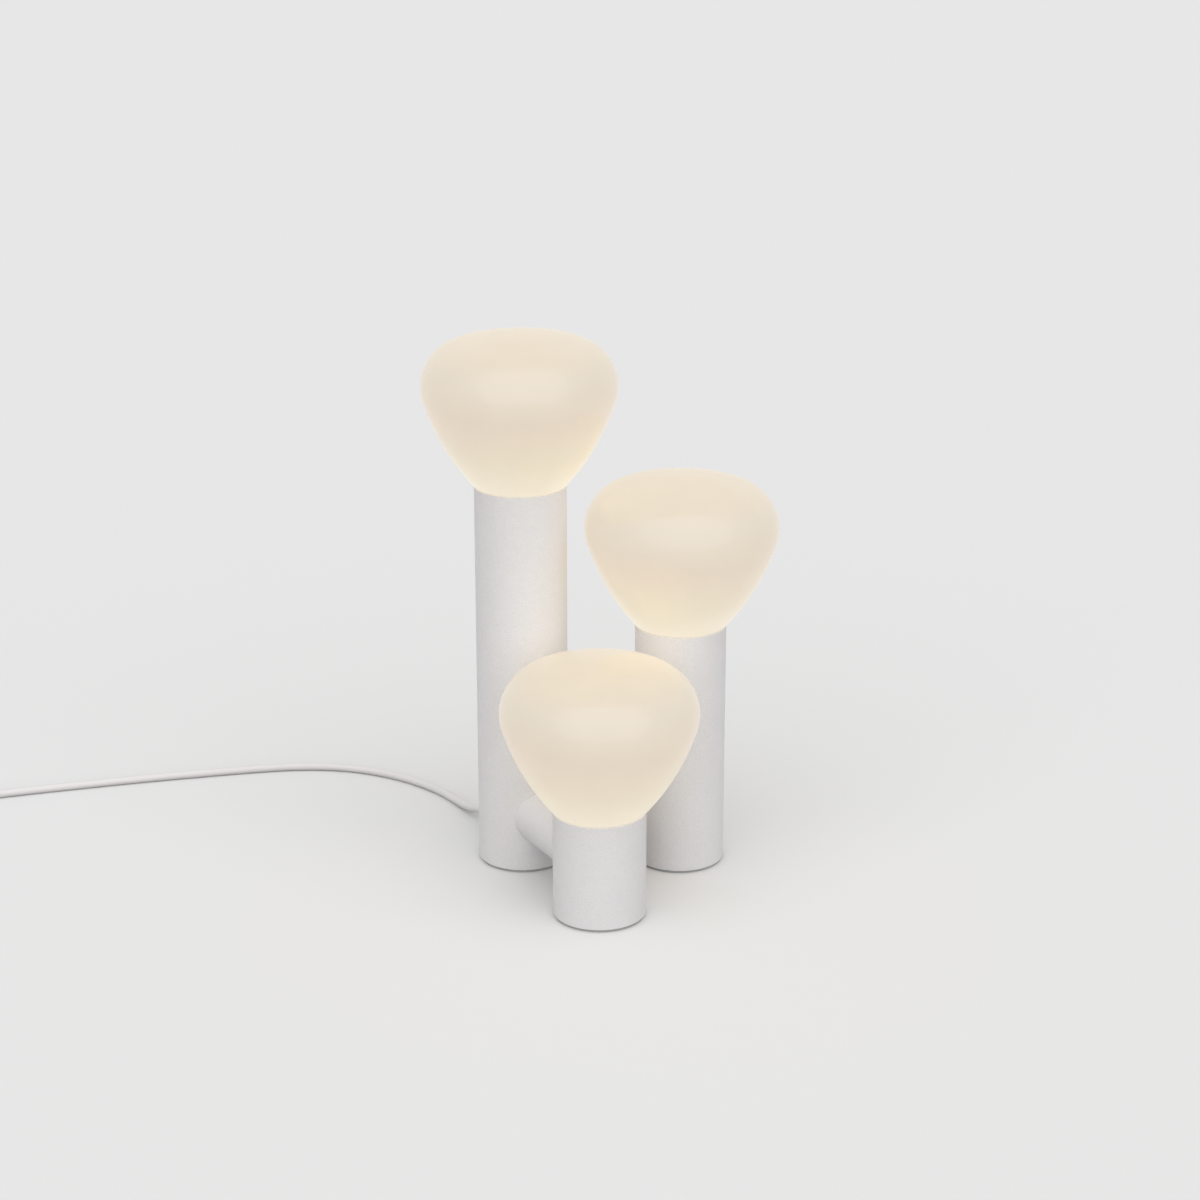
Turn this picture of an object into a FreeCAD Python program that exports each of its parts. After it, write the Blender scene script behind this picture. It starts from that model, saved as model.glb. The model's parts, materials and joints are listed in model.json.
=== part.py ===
"""Table lamp of three coated steel columns, each with an opal glass tulip shade.

Units are millimetres. +Z is up, and the lamp stands on z = 0. X runs from the tall
column towards the medium one, and the short column stands in front, towards -Y.
The origin is on the ground, under the middle of the three shades' common box.
"""
import FreeCAD, Part
import math
import os

Vector = FreeCAD.Vector
UP = Vector(0, 0, 1)

# ---- Columns -----------------------------------------------------------------
column_spacing = 122.0      # axis to axis, the three stand in an equilateral triangle
short_height = 85.0         # ground to the underside of each shade
medium_height = 195.0
tall_height = 305.0
tube_radius = 35.0
tube_wall = 2.0

# ---- Foot of a column ----------------------------------------------------------
pad_thickness = 2.0
pad_inset = 1.5             # the pad stays inside the flange's edge
flange_thickness = 2.0      # of the base weight, the tube stands on it
flange_bevel = 0.5
weight_height = 22.0        # of the weight's plug inside the tube
weight_clearance = 0.2
counterbore_radius = 9.0
counterbore_depth = 8.0

# ---- Tie rod through a column ---------------------------------------------------
rod_radius = 3.0
rod_hole_clearance = 0.3
thread_clearance = 0.05
rod_overhang = 1.5          # past the nut
rod_nut_height = 6.0
rod_nut_flats = 10.0
rod_nut_flange_radius = 7.1
rod_nut_flange_thickness = 1.5

# ---- Plate and bracket that carry the lamp holder -----------------------------
plate_depth = 28.0          # plate's top face below the shade's underside
plate_thickness = 2.5
plate_clearance = 0.1
lead_hole_radius = 4.0
lead_offset = 15.0          # lead's distance from a column's axis
bracket_thickness = 1.2
bracket_width = 12.0
bracket_height = 16.0

# ---- Lamp holder and bulb ----------------------------------------------------------
holder_length = 26.0
holder_width = 15.0
holder_height = 18.0
terminal_width = 12.0       # of the holder's terminal shoulder, over the lead
terminal_height = 7.0
terminal_margin = 4.0       # past the lead's centre
slot_clearance = 0.5
slot_depth = 17.0
screw_radius = 1.5
screw_head_radius = 2.8
screw_head_height = 2.0
screw_length = 6.0
screw_hole_clearance = 0.1
pin_pitch = 9.0
pin_length = 16.0
pin_width = 3.6
pin_thickness = 1.2
bulb_base_length = 13.0
bulb_base_width = 8.0
bulb_base_height = 8.5
bulb_radius = 8.0
bulb_height = 48.0
bulb_overlap = 1.5          # the capsule runs down into its base by this much

# ---- Shade ----------------------------------------------------------------------------
glass_wall = 3.0
lip_radius = 3.0            # rounding at the bottom outer edge
lip_inset = 1.36            # centre of that rounding, inside the tube's radius
flank_radius = 182.0
flank_low_angle = -41.0     # slope of the outward normal where the flank starts
flank_high_angle = -17.3    # and where it ends
shoulder_radius = 34.0
crown_radius = 186.0
neck_length = 20.0
neck_mouth_radius = 2.5     # rounding where the neck opens into the shade
ring_thickness = 2.1        # silicone sleeve round the neck
ring_clearance = 0.4        # sleeve to tube
ring_length = 9.0
gasket_thickness = 0.8      # the sleeve's flange, between glass and tube
fit_gap = 0.05

# ---- Cross tubes and their threaded pipes ---------------------------------------------
cross_radius = 22.0
cross_wall = 2.0
cross_headroom = 0.5        # saddle washers to the short column's plate
cope_clearance = 0.1
mitre_gap = 0.2
pipe_radius = 5.0
pipe_bore_radius = 3.6
pipe_hole_clearance = 0.3
pipe_overhang = 1.5
pipe_nut_height = 4.0
pipe_nut_flats = 14.0
saddle_radius = 9.0
saddle_thickness = 3.0

# ---- Wiring inside --------------------------------------------------------------------
lead_radius = 2.0
lead_bend = 7.5
riser_offset = 13.0         # where a lead leaves the terminal block, from the tall axis
block_inner = 6.0           # terminal block's faces, from the tall axis
block_outer = 20.0
block_length = 26.0
block_height = 10.0
block_screw_radius = 1.8
block_screw_depth = 1.0
core_radius = 1.1
core_pitch = 2.6
core_bend = 4.0
core_rise_offset = 19.0     # the cores rise here, from the tall axis
core_turn_offset = 24.0
core_turn_angle = 66.0
core_approach = 9.5         # last straight of a core into the block
earth_screw_offset = 21.0
earth_screw_angle = 200.0
earth_turn_offset = 22.5
earth_turn_angle = 236.0
earth_eyelet_radius = 3.6
earth_eyelet_thickness = 1.0
barrel_radius = 1.5         # of the eyelet's crimp
earth_approach = 5.0

# ---- Cord's way out of the tall column -------------------------------------------------
exit_angle = 120.0
exit_height = 12.0
notch_width = 15.0          # in the base weight, behind the way out
notch_inner = 12.0
relief_neck_radius = 5.8
relief_hole_clearance = 0.2
relief_lip_radius = 6.8
relief_lip_length = 2.2
relief_inner_length = 5.0   # reach inside the tube's inner face
relief_flange_radius = 7.8
relief_flange_thickness = 1.8
relief_root_radius = 6.0
relief_tip_radius = 4.4
relief_length = 24.0        # outside the tube

# ---- Cord ---------------------------------------------------------------------------------
cord_radius = 3.3
bend_share = 0.45           # of the shorter run, used by each arc
coil_centre = Vector(-630, -35, 0)
coil_radius = 45.0          # centreline of the outermost turn
coil_pitch = 7.2
coil_turns = 2              # whole turns in each of the two layers
layer_height = 7.1
climb_dip = 1.2             # the climbing half turn is drawn in by this much
tie_thickness = 0.9
tie_width = 9.0
tie_corner_radius = 2.5
tie_clearance = 0.5
tie_floor_clearance = 0.2

# ---- Switch on the cord ------------------------------------------------------------------
switch_centre = Vector(-585, 39, 0)
switch_length = 62.0
switch_width = 26.0
switch_height = 17.0
switch_wall = 2.0
switch_corner_radius = 9.0
switch_edge_radius = 2.5
rocker_length = 18.0
rocker_width = 10.0
rocker_clearance = 0.5
rocker_drum_radius = 5.0
rocker_pivot_height = 12.6
rocker_rise = 3.2           # the rocker's ridge over the housing's top
rocker_tilt = 12.0          # half of its travel, in degrees
pivot_radius = 1.2
pivot_length = 1.5
pivot_clearance = 0.05
cheek_thickness = 2.6       # beside the rocker, they hold its pivots
contact_width = 4.0
contact_thickness = 0.8
contact_height = 4.5
contact_spacing = 12.0
boss_radius = 2.8
boss_offset = 23.0
small_screw_radius = 1.2
small_screw_head_radius = 2.2
small_screw_head_height = 1.4
small_screw_length = 11.0

# ---- Plug ---------------------------------------------------------------------------------
plug_start = Vector(-679, 38, 12)
plug_tail_length = 18.0
plug_tail_radius = 4.6
plug_root_radius = 6.6
plug_body_length = 34.0
plug_face_width = 27.0
plug_face_height = 24.0
plug_back_share = 0.62      # of the face's size, at the body's back
plug_edge_radius = 2.5
blade_length = 16.3
blade_width = 6.35
blade_thickness = 1.5
blade_spacing = 12.7
earth_pin_radius = 2.38
earth_pin_length = 20.6
earth_pin_offset = 11.9     # from the blades' middle
blade_offset = 4.3          # blades' middle from the plug's own axis

# ---- Worked out from the sizes above -----------------------------------------------------
tube_bore = tube_radius - tube_wall
tube_foot = pad_thickness + flange_thickness
weight_top = tube_foot + weight_height
cross_height = short_height - plate_depth - plate_thickness - cross_headroom - saddle_radius
row_depth = column_spacing * math.sin(math.radians(60))
neck_radius = tube_bore - ring_clearance - ring_thickness
cord_floor = cord_radius
coil_floor = cord_radius + tie_thickness + tie_floor_clearance
cord_entry_height = switch_height / 2

# name: axis x, axis y, height, angle of the lead and of the holder's terminals
columns = {
    "short": (0.0, -row_depth / 2, short_height, 120.0),
    "medium": (column_spacing / 2, row_depth / 2, medium_height, 180.0),
    "tall": (-column_spacing / 2, row_depth / 2, tall_height, -30.0),
}
# cross tube: the column it runs to from the tall one, its angle there, its mitre's side
cross_tubes = {
    "short": (-60.0, -120.0),
    "medium": (0.0, 60.0),
}


# ---- Shape helpers ---------------------------------------------------------------------------
def polar(radius, angle, z=0.0):
    turn = math.radians(angle)
    return Vector(radius * math.cos(turn), radius * math.sin(turn), z)


def axis_of(name):
    return Vector(columns[name][0], columns[name][1], 0)


def post(radius, low, high, centre=Vector(0, 0, 0)):
    """Upright cylinder from z = low to z = high."""
    return Part.makeCylinder(radius, high - low, Vector(centre.x, centre.y, low))


def bar(radius, start, end):
    """Cylinder from one point to another."""
    return Part.makeCylinder(radius, (end - start).Length, start, end - start)


def block(size_x, size_y, low, high, centre=Vector(0, 0, 0)):
    """Upright box, centred in plan."""
    corner = Vector(centre.x - size_x / 2, centre.y - size_y / 2, low)
    return Part.makeBox(size_x, size_y, high - low, corner)


def turned(edges):
    """Solid of revolution about Z from the closed outline of edges in the XZ plane."""
    face = Part.Face(Part.Wire(Part.__sortEdges__(edges)))
    return face.revolve(Vector(0, 0, 0), UP, 360)


def outline(corners):
    """Straight edges through (radius, z) corners."""
    points = [Vector(r, 0, z) for r, z in corners]
    return [Part.makeLine(a, b) for a, b in zip(points, points[1:])]


def hexagon_nut(flats, low, high, bore):
    """Upright hexagon nut with a plain bore."""
    corners = [polar(flats / math.sqrt(3), 60 * i, low) for i in range(7)]
    prism = Part.Face(Part.makePolygon(corners)).extrude(UP * (high - low))
    return prism.cut(post(bore, low, high))


def turn_about_axis(shape, angle, centre=Vector(0, 0, 0)):
    moved = shape.copy()
    moved.rotate(centre, UP, angle)
    return moved


def shift(shape, by):
    moved = shape.copy()
    moved.translate(by)
    return moved


def point_along(shape, direction, start):
    """Carry a shape built upwards from the origin to start, pointing in direction."""
    moved = shape.copy()
    moved.Placement = FreeCAD.Placement(start, FreeCAD.Rotation(UP, direction)).multiply(moved.Placement)
    return moved


def save(node, shapes):
    """Write one node, as a single solid or as a group of separate solids."""
    solids = [solid for shape in shapes for solid in shape.Solids]
    whole = solids[0] if len(solids) == 1 else Part.makeCompound(solids)
    if not whole.isValid():
        print("NOT VALID", node)
    whole.exportStep("parts/" + node + ".step")
    print(node, len(solids), round(whole.Volume, 1))


# ---- Tubes that follow a route ---------------------------------------------------------------
def route_edges(points, bends):
    """Straight runs through the points, joined by tangent arcs of the radii in bends."""
    edges = []
    start = points[0]
    for before, here, after, radius in zip(points, points[1:], points[2:], bends):
        back = (before - here).normalize()
        ahead = (after - here).normalize()
        half_turn = (math.pi - back.getAngle(ahead)) / 2
        reach = radius * math.tan(half_turn)
        enter = here + back * reach
        leave = here + ahead * reach
        inward = (back + ahead).normalize()
        middle = here + inward * (radius / math.cos(half_turn) - radius)
        edges.append(Part.makeLine(start, enter))
        edges.append(Part.Arc(enter, middle, leave).toShape())
        start = leave
    edges.append(Part.makeLine(start, points[-1]))
    return edges


def widest_bends(points):
    """The arc radius at each inner point: a share of the shorter run beside it."""
    radii = []
    for before, here, after in zip(points, points[1:], points[2:]):
        half_turn = (math.pi - (before - here).getAngle(after - here)) / 2
        shorter = min((before - here).Length, (after - here).Length)
        radii.append(bend_share * shorter / math.tan(half_turn))
    return radii


def swept(edges, radius):
    """Round tube of a given radius along tangent edges."""
    path = Part.Wire(edges)
    first = edges[0]
    start = first.valueAt(first.FirstParameter)
    along = first.tangentAt(first.FirstParameter)
    section = Part.Wire(Part.makeCircle(radius, start, along))
    tube = path.makePipeShell([section], True, False)
    expected = math.pi * radius ** 2 * path.Length
    print("  tube length", round(path.Length, 1), "volume ratio", round(tube.Volume / expected, 4))
    return tube


def free_cord(points):
    bends = widest_bends(points)
    print("  bend radii", [round(radius) for radius in bends])
    return swept(route_edges(points, bends), cord_radius)


def held_lead(points, radius, bend):
    return swept(route_edges(points, [bend] * (len(points) - 2)), radius)


# ---- Columns -------------------------------------------------------------------------------------
def column_tube(name):
    """Steel tube with the holes for the threaded pipes and, on the tall one, for the cord."""
    height = columns[name][2]
    top = height - gasket_thickness
    tube = post(tube_radius, tube_foot, top).cut(post(tube_bore, tube_foot, top))
    for other, (angle, _) in cross_tubes.items():
        if name not in ("tall", other):
            continue
        outward = angle if name == "tall" else angle + 180
        start = polar(tube_bore / 2, outward, cross_height)
        end = polar(tube_radius + tube_wall, outward, cross_height)
        tube = tube.cut(bar(pipe_radius + pipe_hole_clearance, start, end))
    if name == "tall":
        start = polar(tube_bore / 2, exit_angle, exit_height)
        end = polar(tube_radius + tube_wall, exit_angle, exit_height)
        tube = tube.cut(bar(relief_neck_radius + relief_hole_clearance, start, end))
    return shift(tube, axis_of(name))


def base_weight(name):
    """Cast disc: a flange under the tube's edge and a plug inside the tube."""
    flange = post(tube_radius, pad_thickness, tube_foot)
    lower_edge = [edge for edge in flange.Edges
                  if edge.BoundBox.ZMax < pad_thickness + fit_gap and edge.Length > tube_radius]
    flange = flange.makeChamfer(flange_bevel, lower_edge)
    plug = post(tube_bore - weight_clearance, tube_foot, weight_top)
    weight = flange.fuse(plug).removeSplitter()
    weight = weight.cut(post(rod_radius + rod_hole_clearance, pad_thickness, weight_top))
    weight = weight.cut(post(counterbore_radius, pad_thickness, pad_thickness + counterbore_depth))
    if name == "tall":
        corner = Vector(notch_inner, -notch_width / 2, tube_foot)
        notch = Part.makeBox(tube_radius, notch_width, weight_height, corner)
        weight = weight.cut(turn_about_axis(notch, exit_angle))
        spot = polar(earth_screw_offset, earth_screw_angle)
        deep = weight_top - screw_length - screw_head_height
        weight = weight.cut(post(screw_radius + screw_hole_clearance, deep, weight_top, spot))
    return shift(weight, axis_of(name))


def foot_pad(name):
    return shift(post(tube_radius - pad_inset, 0, pad_thickness), axis_of(name))


def plate_top(name):
    return columns[name][2] - plate_depth


def holder_base(name):
    """Level of the lamp holder's underside."""
    return columns[name][2] - holder_height


def holder_plate(name):
    """Disc welded inside the tube, with the rod's hole and the lead's hole."""
    top = plate_top(name)
    plate = post(tube_bore - plate_clearance, top - plate_thickness, top)
    plate = plate.cut(post(rod_radius + rod_hole_clearance, top - plate_thickness, top))
    hole = polar(lead_offset, columns[name][3])
    plate = plate.cut(post(lead_hole_radius, top - plate_thickness, top, hole))
    return shift(plate, axis_of(name))


def tie_rod(name):
    low = pad_thickness + counterbore_depth - rod_nut_height - rod_overhang
    high = plate_top(name) + bracket_thickness + rod_nut_height + rod_overhang
    return shift(post(rod_radius, low, high), axis_of(name))


def rod_nuts(name):
    """Two flange nuts: one under the weight, one over the bracket."""
    nut_bore = rod_radius + thread_clearance
    nut = hexagon_nut(rod_nut_flats, 0, rod_nut_height, nut_bore)
    flange = post(rod_nut_flange_radius, 0, rod_nut_flange_thickness)
    nut = nut.fuse(flange.cut(post(nut_bore, 0, rod_nut_flange_thickness))).removeSplitter()
    upper = shift(nut, Vector(0, 0, plate_top(name) + bracket_thickness))
    lower = nut.copy()
    lower.rotate(Vector(0, 0, 0), Vector(1, 0, 0), 180)
    lower = shift(lower, Vector(0, 0, pad_thickness + counterbore_depth))
    return [shift(one, axis_of(name)) for one in (upper, lower)]


# ---- Lamp holders and bulbs ----------------------------------------------------------------------
def place_holder_part(name, shape):
    """Turn a part built with its terminals towards +Y to the lead's side, and move it to the column."""
    return shift(turn_about_axis(shape, columns[name][3] - 90), axis_of(name))


def holder_bracket(name):
    """U of sheet steel, clamped under the rod's nut, whose ears hold the lamp holder."""
    top = plate_top(name)
    outer_length = holder_length + 2 * bracket_thickness
    shell = block(outer_length, bracket_width, top, top + bracket_height)
    hollow = block(holder_length, bracket_width * 2, top + bracket_thickness, top + bracket_height * 2)
    bracket = shell.cut(hollow)
    bracket = bracket.cut(post(rod_radius + rod_hole_clearance, top, top + bracket_thickness))
    ear = Vector(outer_length / 2, 0, 0)
    level = UP * holder_screw_level(name)
    bracket = bracket.cut(bar(screw_radius + screw_hole_clearance, level - ear, level + ear))
    return place_holder_part(name, bracket)


def holder_screw_level(name):
    """Half way up the stretch that the bracket's ears share with the holder."""
    return (holder_base(name) + plate_top(name) + bracket_height) / 2


def lamp_holder(name):
    """Ceramic holder with two pin slots and a terminal shoulder over the lead."""
    low = holder_base(name)
    top = columns[name][2]
    level = holder_screw_level(name)
    body = block(holder_length, holder_width, low, top)
    corner = Vector(-terminal_width / 2, 0, low)
    terminal = Part.makeBox(terminal_width, lead_offset + terminal_margin, terminal_height, corner)
    body = body.fuse(terminal).removeSplitter()
    for side in (-1, 1):
        slot = block(pin_thickness + 2 * slot_clearance, pin_width + 2 * slot_clearance,
                     top - slot_depth, top, Vector(side * pin_pitch / 2, 0, 0))
        body = body.cut(slot)
        deep = Vector(side * (holder_length / 2 + bracket_thickness - screw_length), 0, level)
        face = Vector(side * holder_length / 2, 0, level)
        body = body.cut(bar(screw_radius + screw_hole_clearance, deep, face))
    return place_holder_part(name, body)


def holder_screws(name):
    screws = []
    for side in (-1, 1):
        outward = Vector(side, 0, 0)
        seat = Vector(0, 0, holder_screw_level(name)) + outward * (holder_length / 2 + bracket_thickness)
        shank = bar(screw_radius, seat, seat - outward * (screw_length - screw_hole_clearance))
        head = bar(screw_head_radius, seat, seat + outward * screw_head_height)
        screws.append(place_holder_part(name, shank.fuse(head).removeSplitter()))
    return screws


def bulb(name):
    """Frosted capsule bulb on a ceramic base with two flat loop pins."""
    seat = columns[name][2]
    base = block(bulb_base_length, bulb_base_width, seat, seat + bulb_base_height)
    dome_centre = seat + bulb_height - bulb_radius
    capsule = post(bulb_radius, seat + bulb_base_height - bulb_overlap, dome_centre)
    capsule = capsule.fuse(Part.makeSphere(bulb_radius, Vector(0, 0, dome_centre)))
    whole = base.fuse(capsule)
    for side in (-1, 1):
        pin = block(pin_thickness, pin_width, seat - pin_length, seat, Vector(side * pin_pitch / 2, 0, 0))
        whole = whole.fuse(pin)
    return place_holder_part(name, whole.removeSplitter())


# ---- Shades -----------------------------------------------------------------------------------------
def shade_arcs(inset):
    """Flank, shoulder and crown of the shade's outline, moved inwards by inset.

    Heights count from the shade's underside. The flank starts on the lip's rounding, each
    arc starts where the last one ends, and the crown's centre lies on the shade's axis.
    """
    def on_arc(centre_r, centre_z, radius, angle):
        turn = math.radians(angle)
        return centre_r + radius * math.cos(turn), centre_z + radius * math.sin(turn)

    lip_r = tube_radius - lip_inset
    lip_z = lip_radius
    flank_r, flank_z = on_arc(lip_r, lip_z, lip_radius - flank_radius, flank_low_angle)
    round_r, round_z = on_arc(flank_r, flank_z, flank_radius - shoulder_radius, flank_high_angle)
    crown_gap = crown_radius - shoulder_radius
    crown_z = round_z - math.sqrt(crown_gap ** 2 - round_r ** 2)
    crown_angle = math.degrees(math.acos(round_r / crown_gap))
    arcs = [
        (flank_r, flank_z, flank_radius - inset, flank_low_angle, flank_high_angle),
        (round_r, round_z, shoulder_radius - inset, flank_high_angle, crown_angle),
        (0.0, crown_z, crown_radius - inset, crown_angle, 90.0),
    ]
    edges = []
    for centre_r, centre_z, radius, low, high in arcs:
        three = [on_arc(centre_r, centre_z, radius, angle) for angle in (low, (low + high) / 2, high)]
        edges.append(Part.Arc(*[Vector(r, 0, z) for r, z in three]).toShape())
    return edges


def end_of(edge):
    return edge.valueAt(edge.LastParameter)


def shade(name):
    """Blown opal glass: a tulip body on a straight neck that sits in the tube."""
    lip_r = tube_radius - lip_inset
    bore = neck_radius - glass_wall
    outer = shade_arcs(0.0)
    inner = shade_arcs(glass_wall)
    turn = math.radians(flank_low_angle)
    lip_middle = math.radians((flank_low_angle - 90) / 2)
    lip_points = [
        Vector(lip_r, 0, 0),
        Vector(lip_r + lip_radius * math.cos(lip_middle), 0, lip_radius + lip_radius * math.sin(lip_middle)),
        Vector(lip_r + lip_radius * math.cos(turn), 0, lip_radius + lip_radius * math.sin(turn)),
    ]
    inner_foot = Vector(lip_r + (lip_radius - glass_wall) * math.cos(turn), 0,
                        lip_radius + (lip_radius - glass_wall) * math.sin(turn))
    mouth_r = bore + neck_mouth_radius
    mouth_z = inner_foot.z - neck_mouth_radius
    middle = neck_mouth_radius * math.sqrt(0.5)
    mouth = Part.Arc(Vector(mouth_r, 0, inner_foot.z), Vector(mouth_r - middle, 0, mouth_z + middle),
                     Vector(bore, 0, mouth_z)).toShape()
    edges = outer + inner + [mouth, Part.Arc(*lip_points).toShape()]
    edges.append(Part.makeLine(end_of(outer[-1]), end_of(inner[-1])))
    edges.append(Part.makeLine(inner_foot, Vector(mouth_r, 0, inner_foot.z)))
    edges += outline([(bore, mouth_z), (bore, -neck_length), (neck_radius, -neck_length),
                      (neck_radius, 0), (lip_r, 0)])
    glass = turned(edges)
    return shift(glass, axis_of(name) + UP * columns[name][2])


def grip_ring(name):
    """Silicone sleeve on the neck, whose flange cushions the glass on the tube's edge."""
    inside = neck_radius + fit_gap
    outside = neck_radius + ring_thickness
    flange = tube_radius - lip_inset
    under = -gasket_thickness
    foot = under - ring_length
    ring = turned(outline([(inside, 0), (flange, 0), (flange, under), (outside, under),
                           (outside, foot), (inside, foot), (inside, 0)]))
    return shift(ring, axis_of(name) + UP * columns[name][2])


# ---- Cross tubes -----------------------------------------------------------------------------------
def along_cross(name, distance):
    """Point on a cross tube's axis, at a distance from the tall column's axis."""
    return axis_of("tall") + polar(distance, cross_tubes[name][0], cross_height)


def cross_tube(name):
    """Tube coped to both columns, and mitred against the other cross tube at the tall one."""
    start, end = along_cross(name, 0), along_cross(name, column_spacing)
    tube = bar(cross_radius, start, end).cut(bar(cross_radius - cross_wall, start, end))
    low, high = cross_height - 2 * cross_radius, cross_height + 2 * cross_radius
    for column in ("tall", name):
        tube = tube.cut(post(tube_radius + cope_clearance, low, high, axis_of(column)))
    far = column_spacing * 2
    keep = Part.makeBox(far, far * 2, high - low, Vector(mitre_gap / 2, -far, low))
    keep = shift(turn_about_axis(keep, cross_tubes[name][1]), axis_of("tall"))
    return tube.common(keep)


def pipe_ends():
    saddle_face = tube_bore - saddle_thickness
    inner = saddle_face - pipe_nut_height - pipe_overhang
    return inner, column_spacing - inner


def cross_pipe(name):
    """Threaded pipe that draws the two columns onto the cross tube and carries the lead."""
    inner, outer = pipe_ends()
    start, end = along_cross(name, inner), along_cross(name, outer)
    return bar(pipe_radius, start, end).cut(bar(pipe_bore_radius, start, end))


def cross_fasteners(name):
    """A nut and a saddle washer at each end of one threaded pipe."""
    nuts, saddles = [], []
    saddle_face = tube_bore - saddle_thickness
    for column, outward in (("tall", cross_tubes[name][0]), (name, cross_tubes[name][0] + 180)):
        centre = axis_of(column)
        direction = polar(1, outward)
        nut = hexagon_nut(pipe_nut_flats, 0, pipe_nut_height, pipe_radius + thread_clearance)
        nut_start = centre + polar(saddle_face - pipe_nut_height, outward, cross_height)
        nuts.append(point_along(nut, direction, nut_start))
        face = centre + polar(saddle_face, outward, cross_height)
        wall = centre + polar(tube_radius, outward, cross_height)
        saddle = bar(saddle_radius, face, wall).cut(bar(pipe_radius + pipe_hole_clearance, face, wall))
        low, high = cross_height - saddle_radius, cross_height + saddle_radius
        saddles.append(saddle.common(post(tube_bore - fit_gap, low, high, centre)))
    return nuts, saddles


# ---- Wiring inside -----------------------------------------------------------------------------------
def in_tall(radius, angle, z):
    return axis_of("tall") + polar(radius, angle, z)


block_angle = columns["tall"][3]
block_middle = (block_inner + block_outer) / 2
block_top = weight_top + block_height
block_level = weight_top + block_height / 2


def block_end(side):
    """Middle of an end face of the terminal block, side +1 or -1."""
    return in_tall(block_middle, block_angle, block_level) + polar(block_length / 2, block_angle + side * 90)


def terminal_block():
    body = Part.makeBox(block_outer - block_inner, block_length, block_height,
                        Vector(block_inner, -block_length / 2, weight_top))
    for step in (-1, 0, 1):
        spot = Vector(block_inner + 2 * block_screw_radius, step * block_length / 3, 0)
        body = body.cut(post(block_screw_radius, block_top - block_screw_depth, block_top, spot))
    return shift(turn_about_axis(body, block_angle), axis_of("tall"))


def lamp_lead(name):
    """Two-core lead in a sleeve, from the terminal block to one lamp holder."""
    if name == "tall":
        start = in_tall(lead_offset, block_angle, block_top)
        return bar(lead_radius, start, Vector(start.x, start.y, holder_base(name)))
    riser = along_cross(name, riser_offset)
    turn = along_cross(name, column_spacing - lead_offset)
    points = [Vector(riser.x, riser.y, block_top), riser, turn, Vector(turn.x, turn.y, holder_base(name))]
    return held_lead(points, lead_radius, lead_bend)


def supply_cores():
    """Three cores from the cord's moulded relief, up the notch and round to the terminal block."""
    cores = []
    sideways = polar(1, exit_angle - 90)
    start = relief_start()
    for step in (-1, 0, 1):
        aside = sideways * (step * core_pitch)
        level = block_level - step * core_pitch
        rise = axis_of("tall") + polar(core_rise_offset, exit_angle) + aside
        face = block_end(1)
        before = face + polar(core_approach, block_angle + 90)
        bend = in_tall(core_turn_offset, core_turn_angle, level)
        points = [
            in_tall(start, exit_angle, exit_height) + aside,
            Vector(rise.x, rise.y, exit_height),
            Vector(rise.x, rise.y, level),
            bend,
            Vector(before.x, before.y, level),
            Vector(face.x, face.y, level),
        ]
        cores.append(held_lead(points, core_radius, core_bend))
    return cores


def earth_lead():
    """Earth core from the block to an eyelet on the base weight."""
    face = block_end(-1)
    eyelet_level = weight_top + earth_eyelet_thickness
    spot = in_tall(earth_screw_offset, earth_screw_angle, 0)
    turn = in_tall(earth_turn_offset, earth_turn_angle, block_level)
    back = (Vector(turn.x, turn.y, 0) - Vector(spot.x, spot.y, 0)).normalize()
    edge = spot + back * (screw_head_radius + barrel_radius + screw_hole_clearance * 2)
    points = [
        face,
        face + polar(earth_approach, block_angle - 90),
        turn,
        Vector(edge.x, edge.y, eyelet_level),
    ]
    wire = held_lead(points, core_radius, core_bend / 2)
    eyelet = post(earth_eyelet_radius, weight_top, eyelet_level, spot)
    barrel = post(barrel_radius, weight_top, eyelet_level + core_radius, edge)
    whole = wire.fuse([eyelet, barrel])
    return whole.cut(post(screw_radius + screw_hole_clearance, weight_top, eyelet_level, spot))


def earth_screw():
    spot = in_tall(earth_screw_offset, earth_screw_angle, 0)
    seat = weight_top + earth_eyelet_thickness
    shank = post(screw_radius, seat - screw_length, seat, spot)
    return shank.fuse(post(screw_head_radius, seat, seat + screw_head_height, spot)).removeSplitter()


# ---- Cord's way out --------------------------------------------------------------------------------
def relief_start():
    """Distance of the relief's inner end from the tall column's axis."""
    return tube_bore - relief_inner_length


def strain_relief():
    """Moulded bush snapped into the tube, with a flange outside and a tapered tail."""
    start = relief_start()
    lip_end = math.sqrt(tube_bore ** 2 - relief_lip_radius ** 2) - relief_hole_clearance
    flange_start = tube_radius + relief_hole_clearance
    flange_end = flange_start + relief_flange_thickness
    tip = tube_radius + relief_length
    bush = turned(outline([
        (0, start), (relief_neck_radius, start), (relief_neck_radius, lip_end - relief_lip_length),
        (relief_lip_radius, lip_end - relief_lip_length), (relief_lip_radius, lip_end),
        (relief_neck_radius, lip_end), (relief_neck_radius, flange_start),
        (relief_flange_radius, flange_start), (relief_flange_radius, flange_end),
        (relief_root_radius, flange_end), (relief_tip_radius, tip), (0, tip), (0, start)]))
    return point_along(bush, polar(1, exit_angle), in_tall(0, exit_angle, exit_height))


# ---- Cord ---------------------------------------------------------------------------------------------
cord_start = in_tall(tube_radius + relief_length, exit_angle, exit_height)
half_switch = Vector(0, switch_length / 2, cord_entry_height)
switch_inlet = switch_centre + half_switch
switch_outlet = switch_centre + Vector(0, -switch_length / 2, cord_entry_height)
coil_start = coil_centre + Vector(coil_radius, 2 * cord_radius, coil_floor)
coil_end = coil_centre + Vector(-coil_radius, 2 * cord_radius, coil_floor + layer_height)

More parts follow.
